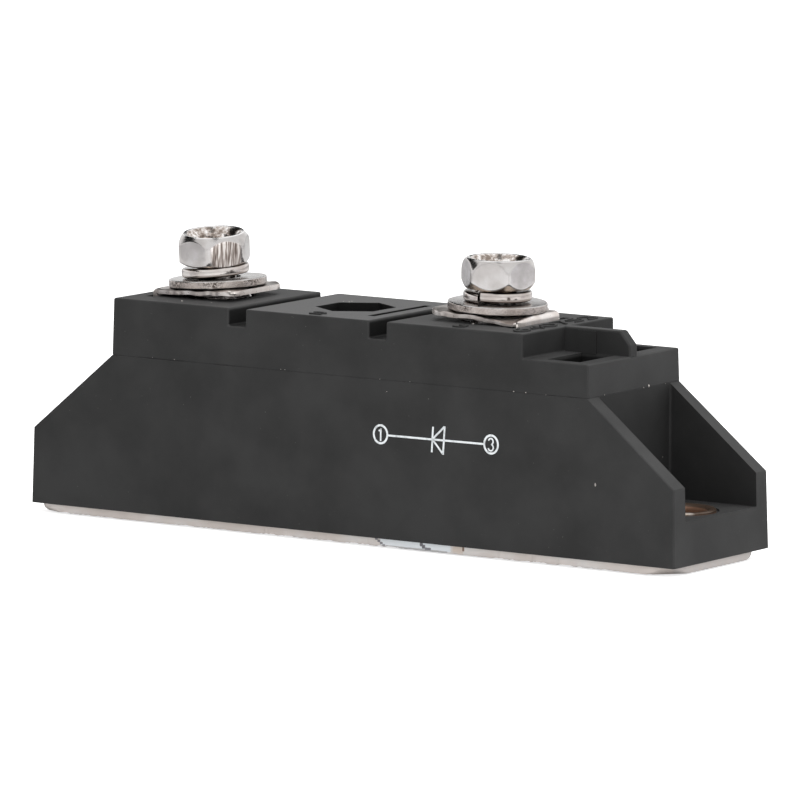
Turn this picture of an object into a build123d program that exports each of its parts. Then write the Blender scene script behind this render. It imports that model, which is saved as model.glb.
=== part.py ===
from build123d import *
import math
import os

# Lengths along the module, from its left end to its right end. X runs along it, -Y is the
# printed front and +Z is up. The origin is the centre of the base plate's underside.
left_pocket_length = 11.78
first_terminal_from_pocket = 8.52
terminal_pitch = 20.2
last_terminal_to_step = 10.0
low_end_length = 9.17
right_pocket_length = 12.13

# Package outline
package_width = 20.0
draft_deg = 1.28
end_upright = 8.9
frame_height = 18.62
cover_height = 6.81
edge_radius = 0.22
seam_radius = 0.12

# Base plate
base_end_margin = 0.55
base_side_margin = 0.4
base_thickness = 3.0
base_corner_radius = 3.4
base_stand_off = 1.0
base_fit = 0.1

# Fixing pockets and eyelets
hole_from_end = 6.0
pocket_floor = 5.1
cheek_thickness = 2.55
pocket_corner_radius = 0.3
eyelet_bore_radius = 3.2
eyelet_wall = 0.5
eyelet_fit = 0.05
eyelet_lip_radius = 4.4
eyelet_lip_rise = 0.5
eyelet_lip_edge = 0.15
eyelet_flare_depth = 0.8
eyelet_seat_margin = 0.35
eyelet_seat_depth = 0.25

# Cavity and cover walls
wall = 1.8
cover_roof = 2.0
tongue_depth = 1.5
tongue_thickness = 1.2
tongue_fit = 0.1

# Terminal places
slot_offset = 5.75
spare_slot_offset = 6.3
slot_end_fit = 0.4
slot_width = 1.0
groove_width = 2.5
groove_depth = 2.12
groove_offset = 9.72
nut_pocket_depth = 4.6
tower_wall = 1.2
well_radius = 3.0
well_depth = 2.4

# Low end of the cover, with its web and auxiliary sockets
step_drop = 2.9
web_thickness = 1.6
web_end_height = 1.3
web_chamfer = 1.4
web_corner_radius = 0.5
web_edge_radius = 0.25
key_width = 2.55
key_height = 0.12
key_from_step = 1.9
socket_ledge = 2.4
socket_end_rim = 2.2
socket_side_rim = 1.5
socket_mouth_depth = 3.0
socket_depth = 8.0
socket_wall = 1.2

# Terminal strips
strip_thickness = 0.6
tab_width = 11.0
riser_width = 9.4
tab_reach = 6.15
tab_corner_radius = 1.9
tab_clearance = 0.62
shoulder_run = 0.6
fold_radius = 0.6
foot_length = 6.0
strip_hole_radius = 2.85

# M5 fasteners
thread_radius = 2.45
thread_fit = 0.03
screw_length = 10.0
screw_point_chamfer = 0.5
head_across_flats = 8.0
head_height = 3.5
head_rim_radius = 3.6
head_chamfer_reach = 1.0
head_top_chamfer = 1.3
head_bottom_chamfer = 0.7
dish_radius = 3.35
dish_floor_radius = 2.5
dish_depth = 0.75
recess_reach = 2.2
recess_width = 1.0
recess_depth = 1.1
recess_taper = 14.0
nut_across_flats = 7.8
nut_height = 4.0
nut_pocket_fit = 0.25
nut_chamfer = 0.5
nut_turn_deg = 30.0
flat_washer_radius = 5.85
flat_washer_hole = 2.8
flat_washer_thickness = 1.0
flat_washer_edge = 0.15
spring_washer_radius = 4.05
spring_washer_hole = 2.65
spring_washer_section = 1.1
spring_washer_gap_deg = 5.0

# How the left stack stands: its screw is only finger-tight and leans
left_strip_slope = 3.0
left_washer_shift = -0.15
left_head_seat = 2.97
left_screw_lean_x = 5.8
left_screw_lean_y = 1.0
left_lean_pivot = 2.9
left_nut_drop = 0.7
left_head_turn = -3.5
left_spring_rise = 0.35
left_spring_middle = 1.85
left_spring_lean_x = -4.5
left_spring_lean_y = -5.2
left_spring_turn = 125.0

# How the right stack stands
right_strip_slope = 2.0
right_head_seat = 2.59
right_screw_lean_x = 0.0
right_screw_lean_y = 1.4
right_lean_pivot = 0.0
right_nut_drop = 0.1
right_head_turn = 20.5
right_spring_rise = 0.1
right_spring_middle = 1.7
right_spring_lean_x = 0.0
right_spring_lean_y = 0.3
right_spring_turn = 269.0

# Isolating stack, chip and fillings
solder_thickness = 0.1
substrate_overrun = 4.3
substrate_side_gap = 0.78
backing_thickness = 0.3
ceramic_thickness = 0.63
pad_thickness = 0.3
pad_margin = 0.8
pad_gap = 1.6
pad_split_from_middle = 2.5
chip_size = 9.0
chip_thickness = 0.4
chip_from_middle = -6.5
disc_radius = 3.6
disc_thickness = 0.8
clip_thickness = 0.5
clip_width = 6.0
clip_drop_run = 3.0
clip_foot = 4.0
gel_depth = 5.0
fill_clearance = 0.85

# Places and levels that follow from the sizes above
package_length = (left_pocket_length + first_terminal_from_pocket + 2 * terminal_pitch
                  + last_terminal_to_step + low_end_length + right_pocket_length)
tower_left = left_pocket_length - package_length / 2
tower_right = package_length / 2 - right_pocket_length
terminal_xs = [tower_left + first_terminal_from_pocket + terminal_pitch * place for place in (0, 1, 2)]
step_x = terminal_xs[2] + last_terminal_to_step
hole_x = package_length / 2 - hole_from_end
base_length = package_length - 2 * base_end_margin
base_width = package_width - 2 * base_side_margin
slot_length = tab_width + 2 * slot_end_fit
draft = math.tan(math.radians(draft_deg))
frame_bottom = base_stand_off
seam = frame_bottom + frame_height
top = seam + cover_height
low_top = top - step_drop
floor_level = frame_bottom + pocket_floor
cavity_left = tower_left + wall
cavity_right = tower_right - wall
seam_half_width = package_width / 2 - frame_height * draft
cavity_half_width = seam_half_width - wall
strip_top = top + tab_clearance + strip_thickness
pad_level = base_thickness + solder_thickness + backing_thickness + ceramic_thickness
pad_top = pad_level + pad_thickness
disc_top = pad_top + solder_thickness + chip_thickness + disc_thickness
substrate_x = terminal_xs[1]
substrate_length = 2 * (terminal_pitch + substrate_overrun)
substrate_width = 2 * (cavity_half_width - substrate_side_gap)
pad_split_x = terminal_xs[1] + pad_split_from_middle
chip_x = terminal_xs[1] + chip_from_middle


def block(x_span, y_span, z_span):
    """A straight-sided block between two limits on each axis."""
    centre = [(low + high) / 2 for low, high in (x_span, y_span, z_span)]
    size = [high - low for low, high in (x_span, y_span, z_span)]
    return Pos(*centre) * Box(*size)


def side_prism(points, width):
    """A side profile, given as X and Z, carried across the module's width."""
    face = Plane.XZ * make_face(Polyline(*points, close=True))
    return extrude(face, amount=width / 2, both=True)


def ring(outer, inner, height):
    """A flat ring standing on Z = 0."""
    return extrude(Circle(outer) - Circle(inner), amount=height)


def hexagon(across_flats, height, turn=0):
    """A hexagonal prism on Z = 0, with a corner at the given turn from +X."""
    flat = across_flats / 2
    return extrude(RegularPolygon(flat, 6, major_radius=False, rotation=turn), amount=height)


def turned(points):
    """A solid of revolution about Z from a half profile of radius and height."""
    face = Plane.XZ * make_face(Polyline(*points, close=True))
    return revolve(face, axis=Axis.Z)


def drafted_envelope():
    """The whole package as one block whose four sides lean in by the draft."""
    plan = Plane.XY.offset(frame_bottom) * Rectangle(package_length, package_width)
    return extrude(plan, amount=frame_height + cover_height, taper=draft_deg)


def rounded_outside(body, seam_level):
    """Round the outer edges, and only touch the ones that lie in the seam."""
    edges = body.edges()
    seam_edges = edges.filter_by(lambda edge: abs(edge.center().Z - seam_level) < seam_radius)
    bottom_edges = edges.filter_by(lambda edge: abs(edge.center().Z - frame_bottom) < seam_radius)
    outer = edges - seam_edges - bottom_edges
    body = fillet(outer, edge_radius)
    edges = body.edges()
    return fillet(edges.filter_by(lambda edge: abs(edge.center().Z - seam_level) < seam_radius / 2),
                  seam_radius)


def make_base_plate():
    """The plate that carries the module, with a hole for each eyelet."""
    plan = RectangleRounded(base_length, base_width, base_corner_radius)
    hole = eyelet_bore_radius + eyelet_wall + eyelet_fit
    for side in (-1, 1):
        plan -= Pos(side * hole_x, 0) * Circle(hole)
    return extrude(plan, amount=base_thickness)


def make_case_frame():
    """The housing: sloping ends, open fixing pockets and a cavity open above and below."""
    half = package_length / 2
    profile = [
        (-half, frame_bottom),
        (half, frame_bottom),
        (half, frame_bottom + end_upright),
        (tower_right, seam),
        (tower_left, seam),
        (-half, frame_bottom + end_upright),
    ]
    body = rounded_outside(drafted_envelope() & side_prism(profile, package_width), seam)
    body -= block((cavity_left, cavity_right), (-cavity_half_width, cavity_half_width),
                  (frame_bottom, seam))
    recess = RectangleRounded(base_length + 2 * base_fit, base_width + 2 * base_fit,
                              base_corner_radius + base_fit)
    body -= extrude(Plane.XY.offset(frame_bottom) * recess, amount=base_thickness - frame_bottom)
    pocket_width = package_width - 2 * cheek_thickness
    for end, side in ((tower_left, -1), (tower_right, 1)):
        length = half - abs(end) + pocket_corner_radius
        centre = end + side * length / 2
        plan = Pos(centre, 0) * Rectangle(length, pocket_width)
        inner = plan.vertices().sort_by(Axis.X)
        plan = fillet(inner[:2] if side > 0 else inner[2:], pocket_corner_radius)
        body -= extrude(Plane.XY.offset(floor_level) * plan, amount=frame_height)
        spot = Pos(side * hole_x, 0, base_thickness)
        body -= spot * Cylinder(eyelet_bore_radius + eyelet_wall + eyelet_fit, frame_height,
                                align=(Align.CENTER, Align.CENTER, Align.MIN))
        seat = Pos(side * hole_x, 0, floor_level - eyelet_seat_depth)
        body -= seat * Cylinder(eyelet_lip_radius + eyelet_seat_margin, frame_height,
                                align=(Align.CENTER, Align.CENTER, Align.MIN))
    return body


def make_eyelet(side):
    """A tubular rivet whose upper rim is flared outwards like a funnel over the pocket floor."""
    outer = eyelet_bore_radius + eyelet_wall
    seat = floor_level - eyelet_seat_depth
    crown = seat + eyelet_lip_rise
    crest = (eyelet_lip_radius - eyelet_lip_edge, crown)
    throat = (eyelet_bore_radius, crown - eyelet_flare_depth)
    outline = Polyline(throat, (eyelet_bore_radius, 0), (outer, 0), (outer, seat),
                       (eyelet_lip_radius, seat), (eyelet_lip_radius, crown - eyelet_lip_edge), crest)
    flare = TangentArc(throat, crest, tangent=(0, 1))
    face = Plane.XZ * make_face(outline + flare)
    return Pos(side * hole_x, 0, 0) * revolve(face, axis=Axis.Z)


def cover_profile():
    """Side profile of the cover: two grooves, the step and the low end."""
    lean = cover_height * draft
    low_lean = (low_top - seam) * draft
    points = [(tower_left, seam), (tower_left + lean, top)]
    for place in (0, 1):
        groove = terminal_xs[place] + groove_offset - groove_width / 2
        points += [(groove, top), (groove, top - groove_depth)]
        points += [(groove + groove_width, top - groove_depth), (groove + groove_width, top)]
    points += [(step_x, top), (step_x, low_top)]
    points += [(tower_right - low_lean, low_top), (tower_right, seam)]
    return points


def make_web():
    """The upright web between the auxiliary sockets, with a low key standing on each face."""
    end = tower_right - (low_top - seam) * draft
    points = [
        (step_x - wall, low_top - cover_roof),
        (end - wall, low_top - cover_roof),
        (end, low_top),
        (end - web_end_height * draft, low_top + web_end_height),
        (end - web_chamfer, top),
        (step_x - wall, top),
    ]
    web = side_prism(points, web_thickness)
    free = web.edges().filter_by(Axis.Y).filter_by(lambda edge: edge.center().Z > low_top + web_edge_radius)
    web = fillet(free.sort_by(Axis.X)[-2:], web_corner_radius)
    rims = web.edges().filter_by(lambda edge: abs(abs(edge.center().Y) - web_thickness / 2) < key_height)
    web = fillet(rims.filter_by(lambda edge: edge.center().Z > low_top + web_edge_radius),
                 web_edge_radius)
    key = step_x + key_from_step
    for side in (-1, 1):
        web += block((key, key + key_width),
                     handed((0, web_thickness / 2 + key_height), side),
                     (low_top, top - web_edge_radius))
    return web


def socket_spans():
    """Limits along X and, on the +Y side, along Y of a socket's mouth and of the well under it."""
    half_width = package_width / 2 - (low_top - frame_bottom) * draft
    mouth_x = (step_x + socket_ledge, tower_right - socket_end_rim)
    mouth_y = (web_thickness / 2, half_width - socket_side_rim)
    well_x = (mouth_x[0], cavity_right - tongue_fit - socket_wall)
    well_y = (mouth_y[0], cavity_half_width - tongue_fit - socket_wall)
    return mouth_x, mouth_y, well_x, well_y


def grown(span, amount):
    """A span made wider by the same amount at each end."""
    return span[0] - amount, span[1] + amount


def handed(span, side):
    """A span on the +Y side, or its mirror on the -Y side."""
    return span if side > 0 else (-span[1], -span[0])


def make_top_cover():
    """The cover: a thin-walled moulding with nut towers, slots and socket boxes."""
    body = drafted_envelope() & side_prism(cover_profile(), package_width)
    body = rounded_outside(body, seam)
    tongue_x = grown((cavity_left, cavity_right), -tongue_fit)
    tongue_y = (-cavity_half_width + tongue_fit, cavity_half_width - tongue_fit)
    body += block(tongue_x, tongue_y, (seam - tongue_depth, seam))
    inside_x = grown(tongue_x, -tongue_thickness)
    inside_y = grown(tongue_y, -tongue_thickness)
    body -= block(inside_x, inside_y, (seam - tongue_depth, seam))

    # Hollow bays between the grooves, each as high as the roof over it allows
    bay_edges = [inside_x[0]]
    for place in (0, 1):
        groove = terminal_xs[place] + groove_offset
        bay_edges += [groove - groove_width / 2 - wall / 2, groove + groove_width / 2 + wall / 2]
    bay_edges.append(step_x - wall)
    for low, high in zip(bay_edges[::2], bay_edges[1::2]):
        body -= block((low, high), inside_y, (seam, top - cover_roof))
    body -= block((step_x - wall / 2, inside_x[1]), inside_y, (seam, low_top - cover_roof))

    # Nut towers hang from the roof, and each is bored for its nut and the screw's end
    pocket_floor_level = top - nut_pocket_depth
    well_floor = pocket_floor_level - well_depth
    flats = nut_across_flats + 2 * nut_pocket_fit
    for x, slot_shift in zip(terminal_xs, (-slot_offset, spare_slot_offset, slot_offset)):
        tower = Pos(x, 0, pocket_floor_level - tower_wall) * hexagon(
            flats + 2 * tower_wall, nut_pocket_depth + tower_wall - cover_roof / 2, nut_turn_deg)
        well = Pos(x, 0, well_floor - tower_wall) * extrude(
            Circle(well_radius + tower_wall), amount=well_depth + tower_wall)
        body += tower + well
        body -= Pos(x, 0, pocket_floor_level) * hexagon(flats, nut_pocket_depth, nut_turn_deg)
        body -= Pos(x, 0, well_floor) * extrude(Circle(well_radius), amount=well_depth)
        slot_x = x + slot_shift
        body -= block((slot_x - slot_width / 2, slot_x + slot_width / 2),
                      (-slot_length / 2, slot_length / 2), (seam - tongue_depth, top))

    # Socket boxes stand down through the seam on both sides of the web
    mouth_x, mouth_y, well_x, well_y = socket_spans()
    socket_floor = low_top - socket_depth
    for side in (-1, 1):
        body += block(grown(well_x, socket_wall), handed(grown(well_y, socket_wall), side),
                      (socket_floor - socket_wall, low_top - cover_roof / 2))
    for side in (-1, 1):
        body -= block(well_x, handed(well_y, side), (socket_floor, low_top))
        body -= block(mouth_x, handed(mouth_y, side), (low_top - socket_mouth_depth, low_top))
    return body + make_web()


def on_strip(x, lean_x, lean_y, pivot=0):
    """A frame on the strip's upper face at the screw's axis, leaning about a point below it."""
    return Pos(x, 0, strip_top - pivot) * Rot(0, lean_y, 0) * Rot(lean_x, 0, 0) * Pos(0, 0, pivot)


def make_strip(x, side, slope):
    """The busbar with its tab cut to outline and bored for the screw."""
    slot_x = x - side * slot_offset
    rise = math.tan(math.radians(slope))
    middle = strip_top - strip_thickness / 2 / math.cos(math.radians(slope))
    foot_level = pad_top + strip_thickness / 2
    path = Plane.XZ * FilletPolyline(
        (slot_x + side * foot_length, foot_level),
        (slot_x, foot_level),
        (slot_x, middle - slot_offset * rise),
        (x + side * tab_reach, middle + tab_reach * rise),
        radius=fold_radius,
    )
    start = Plane(origin=path @ 0, z_dir=path % 0, x_dir=(0, 1, 0))
    strip = sweep(start * Rectangle(tab_width, strip_thickness), path=path)
    shoulder = slot_x + side * shoulder_run
    free_end = x + side * tab_reach
    narrow = Pos(slot_x, 0) * Rectangle(2 * foot_length + slot_width, riser_width)
    wide = Pos((shoulder + free_end) / 2, 0) * RectangleRounded(
        abs(free_end - shoulder), tab_width, tab_corner_radius)
    outline = extrude(Plane.XY.offset(top) * wide, amount=2 * strip_thickness + 2 * tab_clearance)
    outline += extrude(narrow, amount=strip_top + strip_thickness)
    strip &= outline
    hole = on_strip(x, 0, -side * slope) * Cylinder(strip_hole_radius, 4 * strip_thickness)
    return strip - hole


def make_flat_washer():
    """A stamped washer with its upper outer edge rounded."""
    washer = ring(flat_washer_radius, flat_washer_hole, flat_washer_thickness)
    rim = washer.edges().filter_by(GeomType.CIRCLE).group_by(Axis.Z)[-1].sort_by(SortBy.RADIUS)[-1]
    return fillet(rim, flat_washer_edge)


def make_spring_washer(rise, turn, hand):
    """One turn of a square-section helix, ground flat at both ends and centred on its height."""
    middle = (spring_washer_radius + spring_washer_hole) / 2
    width = spring_washer_radius - spring_washer_hole
    share = 1 - spring_washer_gap_deg / 360
    path = Helix(rise / share, rise, middle)
    start = Plane(origin=path @ 0, z_dir=path % 0, x_dir=(1, 0, 0))
    coil = sweep(start * Rectangle(width, spring_washer_section), path=path, is_frenet=True)
    coil = Pos(0, 0, -rise / 2) * coil
    if hand < 0:
        coil = mirror(coil, about=Plane.XZ)
    return Rot(0, 0, turn) * (coil & Cylinder(2 * spring_washer_radius, rise + spring_washer_section))


def make_screw(turn):
    """A hexagon screw with its underside at Z = 0: chamfered head, dish, cross recess and shank."""
    corner = head_rim_radius + head_chamfer_reach
    head = hexagon(head_across_flats, head_height, turn) & turned([
        (0, 0), (head_rim_radius, 0), (corner, head_bottom_chamfer),
        (corner, head_height - head_top_chamfer), (head_rim_radius, head_height), (0, head_height)])
    dish_floor = head_height - dish_depth
    head -= turned([(0, head_height), (dish_radius, head_height), (dish_floor_radius, dish_floor),
                    (0, dish_floor)])
    cross = Rectangle(2 * recess_reach, recess_width) + Rectangle(recess_width, 2 * recess_reach)
    head -= Pos(0, 0, dish_floor) * Rot(0, 0, turn) * extrude(
        cross, amount=-recess_depth, taper=recess_taper)
    shank = Pos(0, 0, -screw_length) * extrude(Circle(thread_radius), amount=screw_length)
    point = shank.edges().filter_by(GeomType.CIRCLE).group_by(Axis.Z)[0]
    return head + chamfer(point, screw_point_chamfer)


def make_nut():
    """A hexagon nut with its top at Z = 0 and both faces chamfered."""
    corner = nut_across_flats / 2 + nut_chamfer
    nut = hexagon(nut_across_flats, nut_height, nut_turn_deg) & turned([
        (0, 0), (corner - nut_chamfer, 0), (corner, nut_chamfer), (corner, nut_height - nut_chamfer),
        (corner - nut_chamfer, nut_height), (0, nut_height)])
    nut -= extrude(Circle(thread_radius + thread_fit), amount=nut_height)
    return Pos(0, 0, -nut_height) * nut


def layer(length, width, x, level, thickness):
    """A flat rectangular layer with its underside at the given level."""
    plan = Plane.XY.offset(level) * Pos(x, 0) * Rectangle(length, width)
    return extrude(plan, amount=thickness)


def make_clip():
    """The bent strip from the contact disc down to the anode pad."""
    upper = disc_top + clip_thickness / 2
    lower = pad_top + clip_thickness / 2
    foot = pad_split_x + pad_gap / 2 + pad_margin
    path = Plane.XZ * FilletPolyline(
        (chip_x - disc_radius, upper),
        (foot - clip_drop_run, upper),
        (foot, lower),
        (foot + clip_foot, lower),
        radius=clip_thickness,
    )
    start = Plane(origin=path @ 0, z_dir=path % 0, x_dir=(0, 1, 0))
    return sweep(start * Rectangle(clip_width, clip_thickness), path=path)


nodes = {}
nodes["base_plate"] = make_base_plate()
nodes["case_frame"] = make_case_frame()
nodes["top_cover"] = make_top_cover()
nodes["mounting_eyelet_left"] = make_eyelet(-1)
nodes["mounting_eyelet_right"] = make_eyelet(1)

# The isolating stack, layer on layer from the base plate up
inner_length = substrate_length - 2 * pad_margin
inner_width = substrate_width - 2 * pad_margin
level = base_thickness
nodes["substrate_solder"] = layer(inner_length, inner_width, substrate_x, level, solder_thickness)
level += solder_thickness
nodes["substrate_backing"] = layer(inner_length, inner_width, substrate_x, level, backing_thickness)
level += backing_thickness
nodes["ceramic_substrate"] = layer(substrate_length, substrate_width, substrate_x, level,
                                   ceramic_thickness)
pads_left = substrate_x - inner_length / 2
pads_right = substrate_x + inner_length / 2
split_left = pad_split_x - pad_gap / 2
split_right = pad_split_x + pad_gap / 2
nodes["cathode_pad"] = layer(split_left - pads_left, inner_width, (pads_left + split_left) / 2,
                             pad_level, pad_thickness)
nodes["anode_pad"] = layer(pads_right - split_right, inner_width, (split_right + pads_right) / 2,
                           pad_level, pad_thickness)

# The diode chip between its solder and its contact disc
nodes["chip_solder"] = layer(chip_size, chip_size, chip_x, pad_top, solder_thickness)
nodes["diode_chip"] = layer(chip_size, chip_size, chip_x, pad_top + solder_thickness, chip_thickness)
nodes["contact_disc"] = Pos(chip_x, 0, disc_top - disc_thickness) * extrude(
    Circle(disc_radius), amount=disc_thickness)
nodes["anode_clip"] = make_clip()
nodes["cathode_busbar"] = make_strip(terminal_xs[0], 1, left_strip_slope)
nodes["anode_busbar"] = make_strip(terminal_xs[2], -1, right_strip_slope)

# The soft and the hard filling close round everything that stands in the cavity
filled = [nodes[name] for name in (
    "substrate_solder", "substrate_backing", "ceramic_substrate", "cathode_pad", "anode_pad",
    "chip_solder", "diode_chip", "contact_disc", "anode_clip", "cathode_busbar", "anode_busbar")]
gel_top = base_thickness + gel_depth
epoxy_top = low_top - socket_depth - socket_wall - fill_clearance
cavity_y = (-cavity_half_width, cavity_half_width)
nodes["silicone_gel"] = block((cavity_left, cavity_right), cavity_y, (base_thickness, gel_top)) - filled
nodes["epoxy_fill"] = block((cavity_left, cavity_right), cavity_y,
                            (gel_top, epoxy_top)) - filled[-2:]

# The left stack of fasteners
x = terminal_xs[0]
seat = on_strip(x, left_screw_lean_x, left_screw_lean_y, left_lean_pivot)
spring_lean = Rot(left_spring_lean_x, left_spring_lean_y, 0)
nodes["flat_washer_left"] = on_strip(x, 0, -left_strip_slope) * Pos(
    0, left_washer_shift, 0) * make_flat_washer()
nodes["spring_washer_left"] = seat * Pos(0, 0, left_spring_middle) * spring_lean * make_spring_washer(
    left_spring_rise, left_spring_turn, 1)
nodes["terminal_screw_left"] = seat * Pos(0, 0, left_head_seat) * make_screw(left_head_turn)
nodes["terminal_nut_left"] = seat * Pos(0, 0, -strip_thickness - left_nut_drop) * make_nut()

# The right stack of fasteners
x = terminal_xs[2]
seat = on_strip(x, right_screw_lean_x, right_screw_lean_y, right_lean_pivot)
spring_lean = Rot(right_spring_lean_x, right_spring_lean_y, 0)
nodes["flat_washer_right"] = on_strip(x, 0, right_strip_slope) * make_flat_washer()
nodes["spring_washer_right"] = seat * Pos(0, 0, right_spring_middle) * spring_lean * make_spring_washer(
    right_spring_rise, right_spring_turn, -1)
nodes["terminal_screw_right"] = seat * Pos(0, 0, right_head_seat) * make_screw(right_head_turn)
nodes["terminal_nut_right"] = seat * Pos(0, 0, -strip_thickness - right_nut_drop) * make_nut()

os.makedirs("parts", exist_ok=True)
for name, solid in nodes.items():
    solid.label = name
    export_step(solid, f"parts/{name}.step")
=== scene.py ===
import math

import bmesh
import bpy
import numpy as np
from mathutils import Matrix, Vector


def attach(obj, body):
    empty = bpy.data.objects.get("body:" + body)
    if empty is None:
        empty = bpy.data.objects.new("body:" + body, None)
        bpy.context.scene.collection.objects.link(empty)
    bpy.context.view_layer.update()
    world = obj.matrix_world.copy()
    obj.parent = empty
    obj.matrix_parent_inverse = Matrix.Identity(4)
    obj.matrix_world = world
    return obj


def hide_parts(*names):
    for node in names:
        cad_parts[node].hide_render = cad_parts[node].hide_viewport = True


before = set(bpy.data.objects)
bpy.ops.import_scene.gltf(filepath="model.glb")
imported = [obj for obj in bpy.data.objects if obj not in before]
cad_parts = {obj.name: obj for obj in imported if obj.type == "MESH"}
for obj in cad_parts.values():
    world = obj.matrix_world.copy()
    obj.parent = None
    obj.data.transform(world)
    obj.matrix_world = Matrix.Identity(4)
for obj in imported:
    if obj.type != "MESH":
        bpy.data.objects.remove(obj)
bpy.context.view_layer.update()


# The setting
# The module stands on a plain white sheet in a white room, between soft lamps. The camera
# looks at its printed front from the right, from a little above. Lengths are metres here.
camera_place = Vector((0.622589, -0.886635, 0.163115))
camera_azimuth = math.radians(35.040)
camera_elevation = math.radians(7.7435)
camera_lens = 418.7
camera_sensor = 36
lamp_target = Vector((0, 0, 0.018))
lamp_distance = 0.6
floor_reach = 6.0
floor_level = -0.0002
floor_lift = 0.75
room_light = 0.42


def linear(code):
    """An sRGB hex colour as linear red, green, blue and alpha."""
    shares = np.array([int(code[place:place + 2], 16) for place in (1, 3, 5)]) / 255
    low = shares / 12.92
    high = ((shares + 0.055) / 1.055) ** 2.4
    return (*np.where(shares <= 0.04045, low, high).tolist(), 1.0)


def add(tree, kind, settings=None, inputs=None, stops=None):
    """Adds a shader node. Settings go to its properties, and each input is set to a value or
    linked if it is an output. Stops are a ramp's places and colours."""
    made = tree.nodes.new("ShaderNode" + kind)
    for name, value in (settings or {}).items():
        setattr(made, name, value)
    for name, value in (inputs or {}).items():
        if isinstance(value, bpy.types.NodeSocket):
            tree.links.new(value, made.inputs[name])
        else:
            made.inputs[name].default_value = value
    for index, (place, colour) in enumerate(stops or []):
        ramp = made.color_ramp.elements
        stop = ramp[index] if index < 2 else ramp.new(place)
        stop.position = place
        stop.color = colour
    return made


def either(tree, first, second):
    """The larger of two shares."""
    return add(tree, "Math", {"operation": "MAXIMUM"}, {0: first, 1: second}).outputs[0]


def both(tree, first, second):
    """The product of two shares."""
    return add(tree, "Math", {"operation": "MULTIPLY"}, {0: first, 1: second}).outputs[0]


def placed(name, data):
    """A new object with that data, in the scene."""
    made = bpy.data.objects.new(name, data)
    bpy.context.scene.collection.objects.link(made)
    return made


def flat_sheet(name, half_width, half_height, level, finish):
    """A rectangle round the origin at that level that is only scenery, and the empty node tree of
    its material."""
    mesh = bpy.data.meshes.new(name)
    corners = [(x * half_width, y * half_height, level) for x, y in ((-1, -1), (1, -1), (1, 1), (-1, 1))]
    mesh.from_pydata(corners, [], [(0, 1, 2, 3)])
    paint = bpy.data.materials.new(finish)
    paint.use_nodes = True
    paint.node_tree.nodes.clear()
    mesh.materials.append(paint)
    sheet = placed(name, mesh)
    return sheet, paint.node_tree


def towards(azimuth, elevation):
    """The direction from the module to a place seen at that azimuth, 0 at its front and 90 at
    its right end, and that elevation, in degrees."""
    turn, rise = math.radians(azimuth), math.radians(elevation)
    return Vector((math.sin(turn) * math.cos(rise), -math.cos(turn) * math.cos(rise), math.sin(rise)))


def softbox(name, azimuth, elevation, size, power):
    """A square area lamp of that size in metres and power in watts, which faces the module."""
    lamp = bpy.data.lights.new(name, "AREA")
    lamp.shape = "SQUARE"
    lamp.size = size
    lamp.energy = power
    holder = placed(name, lamp)
    direction = towards(azimuth, elevation)
    holder.location = lamp_target + direction * lamp_distance
    holder.rotation_euler = (-direction).to_track_quat("-Z", "Y").to_euler()
    holder.visible_glossy = False


def flag(name, azimuth, elevation, distance, width, height, colour):
    """A card that only reflections show, dark or pale, that glows as painted reflection of the parts
    of a studio in polished metal.
    """
    card, tree = flat_sheet(name, width / 2, height / 2, 0, name)
    direction = towards(azimuth, elevation)
    card.location = lamp_target + direction * distance
    card.rotation_euler = direction.to_track_quat("Z", "Y").to_euler()
    for ray in ("camera", "diffuse", "shadow", "transmission"):
        setattr(card, "visible_" + ray, False)
    glow = add(tree, "Emission", inputs={"Color": linear(colour)})
    add(tree, "OutputMaterial", inputs={"Surface": glow.outputs[0]})


camera = placed("camera", bpy.data.cameras.new("camera"))
camera.data.lens = camera_lens
camera.data.sensor_width = camera_sensor
camera.location = camera_place
camera.rotation_euler = (math.pi / 2 - camera_elevation, 0, camera_azimuth)
bpy.context.scene.camera = camera
bpy.context.scene.view_settings.view_transform = "Standard"

softbox("lamp_above", 60, 78, 0.55, 5.1)
softbox("lamp_right", 110, 30, 0.45, 2.3)
softbox("lamp_front", 34, 25, 0.55, 3.1)
softbox("lamp_back_left", 235, 35, 0.45, 0.8)
flag("card_upper_left", -93, 36, 0.5, 1.9, 0.24, "#0A0A0A")
flag("card_overhead", 35, 76, 0.45, 0.08, 0.22, "#101010")
flag("card_low_left", -51.7, -2.7, 0.128, 0.07, 0.04, "#D8D8DA")
flag("card_low_right", 73.6, -4.9, 0.094, 0.014, 0.03, "#5A4D48")
flag("card_low_end", 123.8, -2.4, 0.19, 0.06, 0.05, "#E4E4E8")
flag("card_low_back", -114.2, -1.6, 0.22, 0.08, 0.05, "#D4D5D8")


def white_behind(tree):
    """1 for the rays that show the background itself: seen, mirrored or through glass."""
    path = add(tree, "LightPath")
    mirrored = either(tree, path.outputs["Is Camera Ray"], path.outputs["Is Glossy Ray"])
    return either(tree, mirrored, path.outputs["Is Transmission Ray"])


room = bpy.data.worlds.new("white_room")
room.use_nodes = True
tree = room.node_tree
tree.nodes.clear()
ambient = add(tree, "Background", inputs={"Color": linear("#FFFFFF"), "Strength": room_light})
backdrop = add(tree, "Background", inputs={"Color": linear("#FFFFFF"), "Strength": 1.0})
shown = add(tree, "MixShader", inputs={
    0: white_behind(tree), 1: ambient.outputs[0], 2: backdrop.outputs[0]})
add(tree, "OutputWorld", inputs={"Surface": shown.outputs[0]})
bpy.context.scene.world = room

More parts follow.
